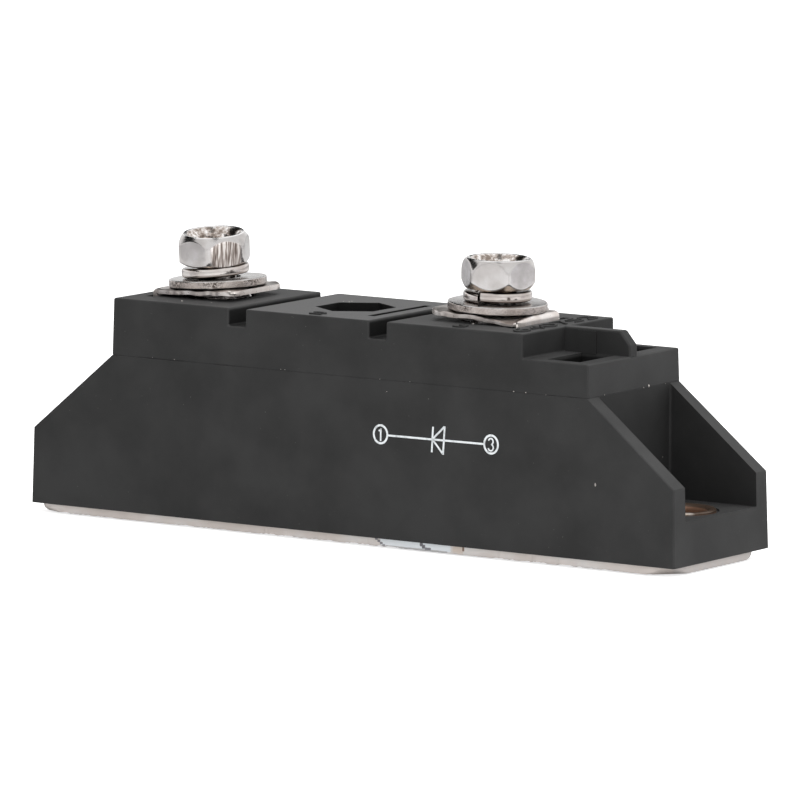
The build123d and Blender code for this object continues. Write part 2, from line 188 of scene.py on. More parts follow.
# The sheet under the module is matt and keeps its shadow, and shows nearly white to the camera.
tree = flat_sheet("floor", floor_reach, floor_reach, floor_level, "white_paper_sheet")[1]
matt = add(tree, "BsdfDiffuse", inputs={"Color": linear("#BDBDBD")})
lift = both(tree, add(tree, "LightPath").outputs["Is Camera Ray"], floor_lift)
glow = add(tree, "Emission", inputs={"Color": linear("#FFFFFF"), "Strength": lift})
lit = add(tree, "AddShader", inputs={0: matt.outputs[0], 1: glow.outputs[0]})
add(tree, "OutputMaterial", inputs={"Surface": lit.outputs[0]})


# Base plate
# The plate that carries the module and takes its heat away: 3 mm copper, nickel plated, sheared
# from strip, so its edge is matt and warm and its lower rim is a ragged burr. Two rivets pass
# through it. Lengths are millimetres from here on, and the mesh function turns them to metres.
plate_length = 90.9
plate_width = 19.2
plate_thickness = 3.0
plate_corner = 3.4
near_corner = 1.9
plate_step = 0.16
edge_roll = 0.12
corner_roll = 0.8
plate_bore = 3.75
rivet_x = 40.0
plate_burr = 0.2
burr_lengths = (0.9, 2.3, 6.1)
burr_patches = (31.0, 17.0)
burr_base = 0.3
burr_share = 0.55
burr_end = 43


def rings_mesh(name, rings, closed=False, crease_deg=35):
    """A closed mesh object from rings of points in millimetres, as an array of rings by points
    by 3. Faces join each ring to the next, and the last to the first where closed. Points that
    fall together are merged, so a ring shrunk to a line or a point closes the shell."""
    rings = np.asarray(rings, float) / 1000
    count, around = rings.shape[:2]
    first = np.arange(count if closed else count - 1)[:, None]
    place = np.arange(around)[None, :]
    after, beside = (first + 1) % count, (place + 1) % around
    faces = np.stack([first * around + place, first * around + beside,
                      after * around + beside, after * around + place], axis=-1).reshape(-1, 4)
    mesh = bpy.data.meshes.new(name)
    mesh.from_pydata(rings.reshape(-1, 3).tolist(), [], faces.tolist())
    shape = bmesh.new()
    shape.from_mesh(mesh)
    bmesh.ops.remove_doubles(shape, verts=shape.verts, dist=1e-8)
    bmesh.ops.recalc_face_normals(shape, faces=shape.faces)
    shape.to_mesh(mesh)
    shape.free()
    mesh.polygons.foreach_set("use_smooth", np.ones(len(mesh.polygons), bool))
    mesh.set_sharp_from_angle(angle=math.radians(crease_deg))
    return placed(name, mesh)


def columns(*parts):
    """Arrays and single numbers side by side, so that each row is one point."""
    return np.stack(np.broadcast_arrays(*parts), axis=1)


def round_axis(radius, turn, level):
    """Points round the Z axis at that radius, those angles and that level."""
    return columns(radius * np.cos(turn), radius * np.sin(turn), level)


def bored(piece, x, y, radius, low, high):
    """The piece with a round hole through it, cut by a rod of that radius between two levels."""
    turn = np.linspace(0, 2 * math.pi, 96, endpoint=False)
    rod = [round_axis(reach, turn, level) + np.array([x, y, 0])
           for reach, level in ((0, low), (radius, low), (radius, high), (0, high))]
    cutter = rings_mesh("cutter", rod)
    cut = piece.modifiers.new("bore", "BOOLEAN")
    cut.object = cutter
    cut.operation = "DIFFERENCE"
    bpy.context.view_layer.update()
    whole = piece.evaluated_get(bpy.context.evaluated_depsgraph_get())
    old, piece.data = piece.data, bpy.data.meshes.new_from_object(whole)
    piece.modifiers.clear()
    bpy.data.meshes.remove(old)
    bpy.data.meshes.remove(cutter.data)
    return piece


def waves(place, lengths, seed):
    """Uneven waves from -1 to 1 along a place in millimetres: sines of those wavelengths, each
    with a seeded phase and its wavelength stretched and squeezed by a slower sine."""
    phases = np.random.default_rng(seed).uniform(0, 2 * math.pi, (len(lengths), 2))
    total = 0
    for length, (phase, drift) in zip(lengths, phases):
        total = total + np.sin(2 * math.pi * place / length + phase
                               + 1.7 * np.sin(2 * math.pi * place / (4.3 * length) + drift))
    return total / len(lengths)


def paced(route, step, endpoint=True):
    """A route laid out again in even steps of about that length, and how far along each point
    is."""
    along = np.concatenate([[0], np.cumsum(np.linalg.norm(np.diff(route, axis=0), axis=1))])
    places = np.linspace(0, along[-1], int(along[-1] / step), endpoint=endpoint)
    return columns(*(np.interp(places, along, course) for course in route.T)), places


def rounded_plan(length, width, radii, step):
    """Points round a rectangle with round corners, about a step apart, and how far along each is.
    The corners are quarter circles of those radii, from the front right one on."""
    points = []
    places = ((1, -1, -90), (1, 1, 0), (-1, 1, 90), (-1, -1, 180))
    for (sign_x, sign_y, start), radius in zip(places, radii):
        turn = np.radians(np.linspace(start, start + 90, max(int(radius * 1.6 / step), 6)))
        points.append(columns(sign_x * (length / 2 - radius) + radius * np.cos(turn),
                              sign_y * (width / 2 - radius) + radius * np.sin(turn)))
    return paced(np.concatenate([*points, points[0][:1]]), step, endpoint=False)


plan, around_plate = rounded_plan(plate_length, plate_width, [plate_corner] * 3 + [near_corner], plate_step)
ragged = np.clip(waves(around_plate, burr_lengths, 4), -burr_base, 1) + burr_base
ragged *= np.clip(waves(around_plate, burr_patches, 9) + burr_share, 0, 1)
ragged *= np.clip((burr_end - np.abs(plan[:, 0])) / 2, 0, 1)
spine = (plate_length - plate_width) / 2
middle = columns(np.clip(plan[:, 0], -spine, spine), 0)
reach = np.linalg.norm(plan - middle, axis=1)
past = np.abs(plan) - np.array([plate_length, plate_width]) / 2 + plate_corner
at_corner = np.prod(np.clip(past / plate_corner, 0, 1), axis=1) * 2
roll = edge_roll + corner_roll * np.clip(at_corner, 0, 1)
plate_rings = [columns(*middle.T, 0)]
for turn in np.radians((0, 25, 50, 70, 90)):
    inset = roll * (1 - np.sin(turn))
    level = roll * (1 - np.cos(turn)) + plate_burr * ragged * np.cos(turn)
    flat = middle + (plan - middle) * (1 - inset / reach)[:, None]
    plate_rings.append(columns(*flat.T, level))
plate_rings += [columns(*plan.T, plate_thickness), columns(*middle.T, plate_thickness)]
base_plate = rings_mesh("nickel_base_plate", plate_rings)
for side in (-1, 1):
    bored(base_plate, side * rivet_x, 0, plate_bore, -1, plate_thickness + 1)


def new_material(name):
    """A material with only a Principled shader and its output, its node tree and that shader."""
    made = bpy.data.materials.new(name)
    made.use_nodes = True
    tree = made.node_tree
    return made, tree, tree.nodes["Principled BSDF"]


def noise(tree, size_mm, stretch=(1, 1, 1), detail=3.0, roughness=0.5):
    """Noise whose features are about size_mm across, drawn out by stretch along each axis."""
    place = add(tree, "TexCoord")
    scale = [1000 / (size_mm * amount) for amount in stretch]
    mapped = add(tree, "Mapping", inputs={"Vector": place.outputs["Object"], "Scale": scale})
    return add(tree, "TexNoise", inputs={"Vector": mapped.outputs[0], "Scale": 1.0, "Detail": detail,
                                         "Roughness": roughness}).outputs["Fac"]


def dress(piece, made):
    """Gives the whole piece one material."""
    piece.data.materials.clear()
    piece.data.materials.append(made)


def ranged(tree, value, low, high, first=0.0, last=1.0):
    """A value's place between low and high, as a share from first to last."""
    return add(tree, "MapRange", inputs={"Value": value, "From Min": low, "From Max": high,
                                         "To Min": first, "To Max": last}).outputs[0]


def toned(tree, share, *stops):
    """A colour that follows a share between stops, each a place and an sRGB code."""
    return add(tree, "ValToRGB", inputs={"Fac": share},
               stops=[(place, linear(code)) for place, code in stops]).outputs["Color"]


def finished(tree, shader, tone, metallic=0.0, roughness=0.5):
    """Gives a shader its colour, its metallic share and its roughness."""
    tree.links.new(tone, shader.inputs["Base Color"])
    shader.inputs["Metallic"].default_value = metallic
    shader.inputs["Roughness"].default_value = roughness


def textured(tree, shader, height, strength, depth_mm):
    """Gives a shader the relief of that height, with its depth in millimetres."""
    relief = add(tree, "Bump", inputs={"Height": height, "Strength": strength, "Distance": depth_mm / 1000})
    tree.links.new(relief.outputs[0], shader.inputs["Normal"])


def spot(tree, axis, start, end, soft):
    """1 between two places in millimetres along an object axis, and falling to 0 over soft."""
    place = add(tree, "TexCoord")
    along = add(tree, "SeparateXYZ", inputs={0: place.outputs["Object"]}).outputs[axis]
    rising = ranged(tree, along, (start - soft) / 1000, start / 1000)
    return both(tree, rising, ranged(tree, along, end / 1000, (end + soft) / 1000, 1.0, 0.0))


def zone(tree, *spots):
    """1 where all of these spots are, each given as its axis, start, end and softness."""
    share = spot(tree, *spots[0])
    for limits in spots[1:]:
        share = both(tree, share, spot(tree, *limits))
    return share


def over(tree, base, share, colour):
    """The base colour with another laid over it by that share."""
    laid = colour if isinstance(colour, bpy.types.NodeSocket) else linear(colour)
    return add(tree, "Mix", {"data_type": "RGBA"}, {0: share, 6: base, 7: laid}).outputs[2]


def mark(tree, start, end, low, high, soft):
    """An uneven patch, 1 between two places along X and two levels in millimetres and falling to 0
    over soft, with noise that breaks up its edge."""
    patch = zone(tree, (0, start, end, soft), (2, low, high, soft))
    rough = add(tree, "Math", {"operation": "ADD"}, {0: patch, 1: noise(tree, 0.5)})
    return ranged(tree, rough.outputs[0], 0.75, 1.25)


# Electroless nickel on a sheared copper edge: a matt, faintly pink grey with cold streaks where
# the plating took thicker, a bare scraped length with a dark nick, a brown stain and two hairlines.
nickel_edge, tree, shader = new_material("electroless_nickel_on_sheared_copper")
tone = toned(tree, noise(tree, 5.0, (2.4, 2.4, 1.0), 4.0, 0.6),
             (0.34, "#C3BAB4"), (0.50, "#CDC5C0"), (0.66, "#D6D3D1"))
# Painted shade darkens the right end of the plate.
tone = over(tree, tone, spot(tree, 0, 44.9, 46.0, 0.4), "#B7B1AE")
plate_marks = [
    # The first mark is the scraped length; the second is painted shadow, a grey line along the foot below
    # it.
    (4.9, 14.6, 0.3, 3.0, 0.3, "#DDE1E4"), (5.6, 14.2, -0.2, 0.18, 0.12, "#B4B3B3"),
    (4.05, 4.35, 0.78, 1.1, 0.1, "#77767A"), (4.4, 4.7, 0.55, 0.75, 0.1, "#77767A"),
    (4.75, 5.05, 0.33, 0.5, 0.1, "#858487"), (5.1, 5.4, 0.12, 0.28, 0.1, "#959496"),
    (10.45, 10.75, 0.6, 0.9, 0.14, "#6F6E72"), (10.75, 11.05, 0.35, 0.65, 0.14, "#6F6E72"),
    (11.15, 11.9, 0.22, 0.38, 0.12, "#7D7C80"),
    (15.3, 16.3, 0.35, 0.8, 0.5, "#CDC1B7"), (16.45, 16.6, 0.5, 1.1, 0.12, "#7F6A5E"),
    (29.1, 29.3, 1.9, 3.0, 0.15, "#7B6A62"), (-37.5, -37.1, 1.4, 3.0, 0.3, "#9A948F"),
]
for start, end, low, high, soft, colour in plate_marks:
    tone = over(tree, tone, mark(tree, start, end, low, high, soft), colour)
finished(tree, shader, tone, 0.55, 0.5)
textured(tree, shader, noise(tree, 0.35, (1, 1, 3.0), 5.0, 0.65), 0.5, 0.05)
dress(base_plate, nickel_edge)
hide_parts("base_plate")
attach(base_plate, "root")


# Housing
# The frame that the plate is glued into: one moulding in black glass-filled polyester, with open
# pockets at both ends for the fixing screws. Spark-eroded mould walls leave it matt.
pbt_dark = "#222222"
pbt_pale = "#2B2B2B"
pocket_half = 7.5
pocket_floor = 6.2
pocket_top = 19.6


def moulded_plastic(name, dark, pale, painted_shade=None):
    """Black glass-filled polyester as moulded: a fine even grain, slow cloudy changes of tone,
    and a scatter of paler fibre ends and dust. Painted shade, where given, is a share that is 1
    inside pockets, where it darkens the surface to near black."""
    made, tree, shader = new_material(name)
    base = toned(tree, noise(tree, 9.0, detail=4.0, roughness=0.55), (0.35, dark), (0.65, pale))
    dust = toned(tree, noise(tree, 0.24, detail=1.0), (0.79, "#000000"), (0.83, "#FFFFFF"))
    mixed = over(tree, base, dust, "#4C4B4A")
    # Painted shade: the masked places are darkened to near black.
    if painted_shade:
        mixed = over(tree, mixed, painted_shade(tree), "#060606")
    finished(tree, shader, mixed, 0.0, 0.62)
    textured(tree, shader, noise(tree, 0.12, detail=3.0, roughness=0.6), 0.35, 0.03)
    shader.inputs["IOR"].default_value = 1.52
    shader.inputs["Specular IOR Level"].default_value = 0.22
    return made


def pocket_painted_shade(tree):
    """Painted shade: half of 1 between the cheeks of an end pocket and above its floor."""
    pocket = zone(tree, (1, -pocket_half, pocket_half, 0.05), (2, pocket_floor, pocket_top, 0.03))
    return both(tree, pocket, 0.5)


# The housing carries painted shade in its end pockets.
housing_plastic = moulded_plastic("black_glass_filled_polyester_housing", pbt_dark, pbt_pale,
                                  pocket_painted_shade)
dress(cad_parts["case_frame"], housing_plastic)


# Fixing rivets
# Tubular rivets of nickel-plated brass, rolled over on the pocket floors. The bore stays dull and
# brownish and the rolled lip is polished by the tool. Painted shade darkens all but their front.
rivet_nickel, tree, shader = new_material("rolled_nickel_plated_brass")
tone = toned(tree, noise(tree, 0.9), (0.40, "#A4917F"), (0.58, "#F6F1EB"))
# Painted shade: dark over all but the front of each rivet.
tone = over(tree, tone, spot(tree, 1, -2.2, 8.0, 1.6), "#4A3D34")
tone = over(tree, tone, spot(tree, 2, -1.0, 6.0, 0.12), "#7A5D4C")
finished(tree, shader, tone, 0.6, 0.28)
textured(tree, shader, noise(tree, 0.4, (1, 1, 0.3)), 0.5, 0.06)
for name in ("mounting_eyelet_left", "mounting_eyelet_right"):
    dress(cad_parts[name], rivet_nickel)


# Cover
# The second black moulding, glued on the frame. It holds the nuts, lets the strips out through
# slots, and has two sockets for small push-on connectors at its low end.
cover_top = 26.43
low_top = 23.53
seam_level = 19.62
cover_left = -34.22
cover_right = 33.87
step_x = 24.7
cover_half = 9.4
below_cover = 10
spare_left = -13.0
spare_right = 2.3
spare_half = 7


def cover_painted_shade(tree):
    """Painted shade: nearly 1 in the grooves, slots and nut pocket under the top and in the
    sockets at the low end, less on the step and the web, and 0 on the outer walls."""
    across = spot(tree, 1, -cover_half + 0.25, cover_half - 0.25, 0.1)
    high = zone(tree, (0, cover_left + 1, step_x - 1, 0.1), (2, below_cover, cover_top - 0.4, 0.2))
    low = zone(tree, (0, step_x + 1, cover_right - 1, 0.1), (2, below_cover, low_top - 0.5, 0.3))
    painted_shade = both(tree, both(tree, either(tree, high, low), across), 0.9)
    spare = zone(tree, (0, spare_left, spare_right, 0.05), (2, below_cover, cover_top - 0.07, 0.04),
                 (1, -spare_half, spare_half, 0.05))
    step = zone(tree, (0, step_x - 0.05, cover_right, 0.05), (2, low_top + 0.1, cover_top, 0.1))
    return either(tree, either(tree, painted_shade, spare), both(tree, step, 0.4))


def reopened(made):
    """A material's node tree, its shader and the colour that the shader has now."""
    shader = made.node_tree.nodes["Principled BSDF"]
    return made.node_tree, shader, shader.inputs["Base Color"].links[0].from_socket


# Painted sheen makes the tops paler than the walls, most on the middle place, where no strip shades it.
cover_plastic = moulded_plastic("black_glass_filled_polyester_cover", pbt_dark, pbt_pale, cover_painted_shade)
tree, shader, tone = reopened(cover_plastic)
top = spot(tree, 2, cover_top - 0.01, cover_top + 0.05, 0.02)
tone = over(tree, tone, top, "#313131")
tone = over(tree, tone, both(tree, top, spot(tree, 0, spare_left - 1.8, spare_right + 1.3, 2.5)), "#444444")
tree.links.new(tone, shader.inputs["Base Color"])
dress(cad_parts["top_cover"], cover_plastic)


# Terminal strips
# Copper strip, 0.6 mm, nickel plated, folded over the cover after the nuts are dropped in. Each
# was cheaply sheared: its edges wave, its front droops and its corners carry bright burrs.
strip_thickness = 0.6
strip_half_width = 5.5
riser_half_width = 4.7
strip_level = 27.65
fold_radius = 0.34
slot_offset = 5.75
foot_length = 6.0
foot_level = 4.73
strip_hole = 2.85
free_corner = 1.7
neck_run = 0.3
back_neck_run = 0.8
edge_start = 0.97
front_wave = 0.09
back_wave = 0.06
ripple_height = 0.09
droop_start = 2.6
droop_run = 2.9
sag_start = 2.5
sag_run = 3.5


def strip_line(tab_reach, slope_deg, step):
    """The strip's middle line from its free end to its foot, as distance out from the screw and
    level, with the direction of its upper side. It is three straight runs joined by two arcs, and
    the first run slopes up to the free end."""
    slope = math.radians(slope_deg)
    middle = strip_level - strip_thickness / 2 / math.cos(slope)
    corners = np.array([[tab_reach, middle + tab_reach * math.tan(slope)],
                        [-slot_offset, middle - slot_offset * math.tan(slope)],
                        [-slot_offset, foot_level + strip_thickness / 2],
                        [foot_length - slot_offset, foot_level + strip_thickness / 2]])
    runs = np.diff(corners, axis=0)
    runs /= np.linalg.norm(runs, axis=1)[:, None]
    points = [corners[0]]
    for place in (1, 2):
        before, after = runs[place - 1], runs[place]
        turn = math.acos(np.clip(before @ after, -1, 1))
        reach = fold_radius * math.tan(turn / 2)
        start, end = corners[place] - before * reach, corners[place] + after * reach
        inward = np.array([-before[1], before[0]])
        centre = start + inward * fold_radius
        sweep = np.linspace(0, turn, 14)
        spoke = start - centre
        points += [centre + spoke * np.cos(angle) + before * fold_radius * np.sin(angle)
                   for angle in sweep]
        points[-1] = end
    line, places = paced(np.array([*points, corners[3]]), step)
    heading = np.gradient(line, axis=0)
    heading /= np.linalg.norm(heading, axis=1)[:, None]
    return line, columns(heading[:, 1], -heading[:, 0]), places


def eased(share):
    """A share from 0 to 1 that starts and ends gently, by the cubic smooth step."""
    return share * share * (3 - 2 * share)


def strip_mesh(name, x, side, tab_reach, slope_deg, sag, droop, dip, front_shoulder, back_shoulder,
               back_half, tongue, seed):
    """A folded strip as flat rectangles of its section, carried along its middle line. The half
    width follows the outline with round free corners and the neck at the fold, and waves a little.
    The upper and lower sides are offset by half the thickness, the front edge droops and the free
    end sags by square laws, the front corner by the slot is beaten thin, and the outermost points
    are drawn in to round the edge. A tongue is pulled out of the fold's front corner."""
    line, upper, along = strip_line(tab_reach, slope_deg, 0.12)
    tab_end = tab_reach + slot_offset - fold_radius
    from_end = np.clip(free_corner - along, 0, free_corner)
    width = strip_half_width - free_corner + np.sqrt(free_corner ** 2 - from_end ** 2)
    neck = np.clip((along - tab_end + front_shoulder) / neck_run, 0, 1)
    back_neck = np.clip((along - tab_end + back_shoulder) / back_neck_run, 0, 1)
    front_width = width + (riser_half_width - width) * eased(neck)
    back_width = width + (back_half - width) * eased(back_neck)
    across = np.concatenate([np.linspace(-1, 1, 61), [1], np.linspace(1, -1, 61), [-1]])
    edge = np.clip((np.abs(across) - edge_start) / 0.03, 0, 1)
    thick = np.concatenate([np.full(61, 0.5), [0], np.full(61, -0.5), [0]]) * (1 - 0.25 * edge ** 2)
    tab = np.clip((tab_end - along) / 1.5, 0, 1)
    level_run = np.clip((tab_end + 0.5 - along) / 0.5, 0, 1)
    front_width = front_width + waves(along, (1.3, 3.1, 7.7), seed) * front_wave * tab
    back_width = back_width + waves(along, (1.7, 4.3), seed + 1) * back_wave * tab
    y = across * np.where(across < 0, front_width[:, None], back_width[:, None])
    fall = droop * np.clip((-y - droop_start) / droop_run, 0, 1.1) ** 2
    near_slot = np.clip((along - tab_end + 5.5) / 5.5, 0, 1)
    corner_dip = (near_slot ** 2)[:, None] * np.clip((-y - 1.0) / 4.0, 0, 1)
    fall = fall + dip * corner_dip + sag * (np.clip(line[:, :1] - sag_start, 0, 4) / sag_run) ** 2
    thick = thick * (1 - 0.6 * np.clip(2 * dip, 0, 1) * corner_dip)
    ripple = waves(along, (2.9, 5.3), seed + 2) * ripple_height
    fall = (fall - ripple[:, None] * np.clip((np.abs(y) - 3.5) / 2, 0, 1)) * level_run[:, None]
    pulled = np.exp(-((along - tab_end) / 0.4) ** 2)[:, None] * np.clip((-y - 3.9) / 1.4, 0, 1)
    out = line[:, :1] + upper[:, :1] * thick * strip_thickness - tongue * pulled
    level = line[:, 1:] + upper[:, 1:] * thick * strip_thickness - fall
    rings = np.stack([x + side * out, y, level], axis=2)
    start, finish = rings[0].copy(), rings[-1].copy()
    start[:, 0] = x + side * line[0, 0]
    start[:, 2] = line[0, 1] - fall[0]
    finish[:, 2] = line[-1, 1]
    return rings_mesh(name, np.concatenate([start[None], rings, finish[None]]))


def plated_metal(name, dark, middle, pale, roughness, cloud_mm, grain_mm, stretch, depth_mm):
    """Polished plating over metal: three tones in slow clouds and a fine relief, drawn out along
    the way the surface was rolled, drawn or turned."""
    made, tree, shader = new_material(name)
    tone = toned(tree, noise(tree, cloud_mm, detail=4.0), (0.36, dark), (0.50, middle), (0.64, pale))
    finished(tree, shader, tone, 1.0)
    grain = noise(tree, grain_mm, stretch, 4.0, 0.6)
    textured(tree, shader, grain, 0.6, depth_mm)
    rough = ranged(tree, grain, 0.0, 1.0, roughness * 0.7, roughness * 1.3)
    tree.links.new(rough, shader.inputs["Roughness"])
    return made


def facing(tree, axis):
    """How far a surface faces along an axis, from -1 to 1."""
    normal = add(tree, "NewGeometry").outputs["Normal"]
    return add(tree, "SeparateXYZ", inputs={0: normal}).outputs[axis]


def size_of(tree, value):
    """A value without its sign."""
    return add(tree, "Math", {"operation": "ABSOLUTE"}, {0: value}).outputs[0]


# Dull nickel in slow clouds, rolled along the strip. The outside of the fold and the sheared ends
# are stretched matt.
strip_nickel = plated_metal("matt_nickel_on_rolled_copper_strip", "#BEB6B1", "#CEC6C1", "#DDD8D5",
                            0.3, 2.5, 0.3, (3, 1, 1), 0.02)
tree, shader, tone = reopened(strip_nickel)
stretched = ranged(tree, size_of(tree, facing(tree, 0)), 0.3, 0.7, 1.0, 0.72)
tree.links.new(stretched, shader.inputs["Metallic"])
terminals = {
    "cathode": {"x": -25.7, "side": 1, "tab_reach": 6.05, "slope_deg": 3.0, "sag": 0.24, "droop": 0.16,
                "dip": 0.0, "front_shoulder": 0.75, "back_shoulder": 0.2, "back_half": 4.7,
                "tongue": 0.0, "seed": 11},
    "anode": {"x": 14.7, "side": -1, "tab_reach": 6.25, "slope_deg": 2.0, "sag": 0.0, "droop": 0.14,
              "dip": 0.42, "front_shoulder": -0.05, "back_shoulder": 1.9, "back_half": 4.05,
              "tongue": 0.6, "seed": 23},
}
for name, form in terminals.items():
    strip = strip_mesh(name + "_strip", **form)
    bored(strip, form["x"], 0, strip_hole, strip_level - 3, strip_level + 3)
    dress(strip, strip_nickel)
    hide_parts(name + "_busbar")
    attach(strip, "root")


# Flat washers
# Stamped M5 washers, nickel plated. The faces are rolled and satin, the upper outer edge is drawn
# in by the die, and the rim is the torn, pitted edge that the punch leaves.
washer_outer = 5.85
washer_inner = 2.8
washer_thickness = 0.88
washer_edge = 0.17
washer_break = 0.08
washer_lift = 0.06


def tilt(lean_x_deg, lean_y_deg, turn_deg=0):
    """A rotation that turns about Z, then leans about X, then about Y."""
    x, y, z = (math.radians(angle) for angle in (lean_x_deg, lean_y_deg, turn_deg))
    about_x = np.array([[1, 0, 0], [0, math.cos(x), -math.sin(x)], [0, math.sin(x), math.cos(x)]])
    about_y = np.array([[math.cos(y), 0, math.sin(y)], [0, 1, 0], [-math.sin(y), 0, math.cos(y)]])
    about_z = np.array([[math.cos(z), -math.sin(z), 0], [math.sin(z), math.cos(z), 0], [0, 0, 1]])
    return about_y @ about_x @ about_z


def flat_washer(name, x, y, lean_y_deg, seed):
    """A rectangle with its outer corners rounded, carried round the axis and laid on the strip's
    slope. The rim waves in and out a little."""
    turn = np.linspace(0, 2 * math.pi, 240, endpoint=False)
    round_off = np.radians(np.linspace(90, 0, 6))
    upper = zip(washer_outer - washer_edge * (1 - np.cos(round_off)),
                washer_thickness - washer_edge * (1 - np.sin(round_off)))
    section = [(washer_inner, 0.0), (washer_inner, washer_thickness), *upper,
               (washer_outer, washer_break), (washer_outer - washer_break, 0.0)]
    rim = 0.02 * waves(turn * washer_outer, (2.2, 5.1), seed)
    rings = np.array([round_axis(reach + rim, turn, washer_lift + level) for reach, level in section])
    return rings_mesh(name, rings @ tilt(0, lean_y_deg).T + np.array([x, y, strip_level]), True)


# Satin nickel in three greys. The rim is warmer and pitted where the punch tore it most, and the
# right washer's is dark brown over its left part.
washer_nickel, tree, shader = new_material("satin_nickel_on_stamped_steel")
tone = toned(tree, noise(tree, 1.6, detail=4.0), (0.35, "#B5B0AD"), (0.50, "#C3C0BE"), (0.65, "#D0CECD"))
rim = ranged(tree, size_of(tree, facing(tree, 2)), 0.5, 0.2)
torn = ranged(tree, noise(tree, 3.0, detail=1.0), 0.42, 0.60, 0.15, 1.0)
pitted = ranged(tree, noise(tree, 0.26, detail=4.0, roughness=0.75), 0.55, 0.46)
tone = over(tree, tone, both(tree, rim, 0.5), "#B8A79D")
tone = over(tree, tone, both(tree, spot(tree, 0, 8.7, 10.4, 1.3), rim), "#5A4C46")
tone = over(tree, tone, both(tree, both(tree, pitted, torn), rim), "#4E443F")
finished(tree, shader, tone, 1.0, 0.24)
textured(tree, shader, noise(tree, 0.3, detail=4.0, roughness=0.75), rim, 0.04)
flat_washers = {"left": {"x": -25.48, "y": -0.15, "lean_y_deg": -3.0, "seed": 6},
                "right": {"x": 14.7, "y": 0.0, "lean_y_deg": 2.0, "seed": 7}}
for side, form in flat_washers.items():
    washer = flat_washer("stamped_washer_" + side, **form)
    dress(washer, washer_nickel)
    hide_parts("flat_washer_" + side)
    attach(washer, "root")


# Spring washers
# Split helical washers of square spring wire with rounded edges, nickel plated bright.
spring_outer = 4.05
spring_inner = 2.65
spring_section = 1.22
spring_power = 3.4
spring_gap_deg = 5.0


def on_screw(stack, points):
    """Points given on the screw's axis, with 0 at the strip's upper face, put where they stand:
    the whole screw leans about a point below the strip."""
    lowered = points + np.array([0, 0, stack["pivot"]])
    leaned = lowered @ tilt(stack["lean_x"], stack["lean_y"]).T
    return leaned + np.array([stack["x"], 0, strip_level - stack["pivot"]])


def spring_washer(stack, name):
    """One turn of a helix: a square with round corners, as a superellipse, carried round the axis
    while it rises evenly, with both ends closed flat."""
    turn = np.radians(np.linspace(0, 360 - spring_gap_deg, 150))
    rise = stack["spring_rise"] * (turn / turn[-1] - 0.5)
    spin = np.linspace(0, 2 * math.pi, 40, endpoint=False)
    half = (spring_outer - spring_inner) / 2
    wide, tall = (np.sign(wave) * np.abs(wave) ** (2 / spring_power)
                  for wave in (np.cos(spin), np.sin(spin)))
    radial = (spring_outer + spring_inner) / 2 + half * wide
    height = spring_section / 2 * tall
    rings = np.stack([np.cos(turn)[:, None] * radial, stack["hand"] * np.sin(turn)[:, None] * radial,
                      rise[:, None] + height], axis=2)
    ends = np.stack([rings[0].mean(axis=0) + 0 * rings[0], rings[-1].mean(axis=0) + 0 * rings[-1]])
    rings = np.concatenate([ends[:1], rings, ends[1:]])
    turned = rings @ tilt(0, stack["spring_lean_y"], stack["spring_turn"]).T
    turned = turned @ tilt(stack["spring_lean_x"], 0).T
    return rings_mesh(name, on_screw(stack, turned + np.array([0, 0, stack["spring_middle"]])))


stacks = {
    "left": {"x": -25.7, "pivot": 2.9, "lean_x": 5.8, "lean_y": 1.0, "head_seat": 2.84,
             "head_height": 3.63, "flats": 8.0, "edge_power": 20, "chamfer_top": 1.3,
             "chamfer_reach": 0.98, "chamfer_power": 0.92, "chamfer_bottom": 0.42, "torn": 1.0,
             "head_turn": -3.5, "spring_rise": 0.35, "spring_middle": 1.85, "spring_turn": 125.0,
             "spring_lean_x": -4.5, "spring_lean_y": -5.2, "hand": 1},
    "right": {"x": 14.7, "pivot": 0.0, "lean_x": 0.0, "lean_y": 1.4, "head_seat": 2.55,
              "head_height": 3.54, "flats": 7.84, "edge_power": 38, "chamfer_top": 1.5,
              "chamfer_reach": 0.9, "chamfer_power": 0.47, "chamfer_bottom": 0.9, "torn": 0.0,
              "head_turn": 20.5, "spring_rise": 0.28, "spring_middle": 1.68, "spring_turn": 269.0,
              "spring_lean_x": 0.0, "spring_lean_y": 0.3, "hand": -1},
}

# Bright nickel round the outside. Painted shade darkens the faces that look up, under the heads,
# and browns those that look down. Both washers are darker over their left ends, the right one most.
spring_nickel = plated_metal("bright_nickel_on_spring_steel", "#BDB4AF", "#CFC7C3", "#DDD8D5",
                             0.15, 2.5, 0.5, (3, 3, 1), 0.02)
tree, shader, tone = reopened(spring_nickel)
upright = facing(tree, 2)
# Painted shade on the faces that look up.
tone = over(tree, tone, ranged(tree, upright, 0.55, 0.9), "#393432")
# Painted shade on the faces that look down.
tone = over(tree, tone, ranged(tree, upright, -0.35, -0.75), "#6B5546")
tone = over(tree, tone, spot(tree, 0, 10.0, 11.7, 0.7), "#4A4542")
tone = over(tree, tone, spot(tree, 0, -31.0, -28.7, 0.9), "#8C837E")
tree.links.new(tone, shader.inputs["Base Color"])
for side, stack in stacks.items():
    washer = spring_washer(stack, "split_washer_" + side)
    dress(washer, spring_nickel)
    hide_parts("spring_washer_" + side)
    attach(washer, "root")


# Terminal screws
# M5 hexagon screws, cold headed and nickel plated: chamfered above and below, dished on top with a
# cross recess punched in the dish, and threaded up to the head.
head_rim = 3.6
foot_rim = 3.85
foot_reach = 0.66
dish_radius = 3.35
dish_floor = 2.5
dish_depth = 0.75
dish_lip = 0.03
cross_reach = 2.2
cross_half = 0.52
cross_depth = 0.9
edge_blend = 0.06
screw_length = 10.0
thread_radius = 2.45
thread_pitch = 0.8
thread_depth = 0.399
thread_slope = 2.3
point_length = 0.9
point_cut = 0.5


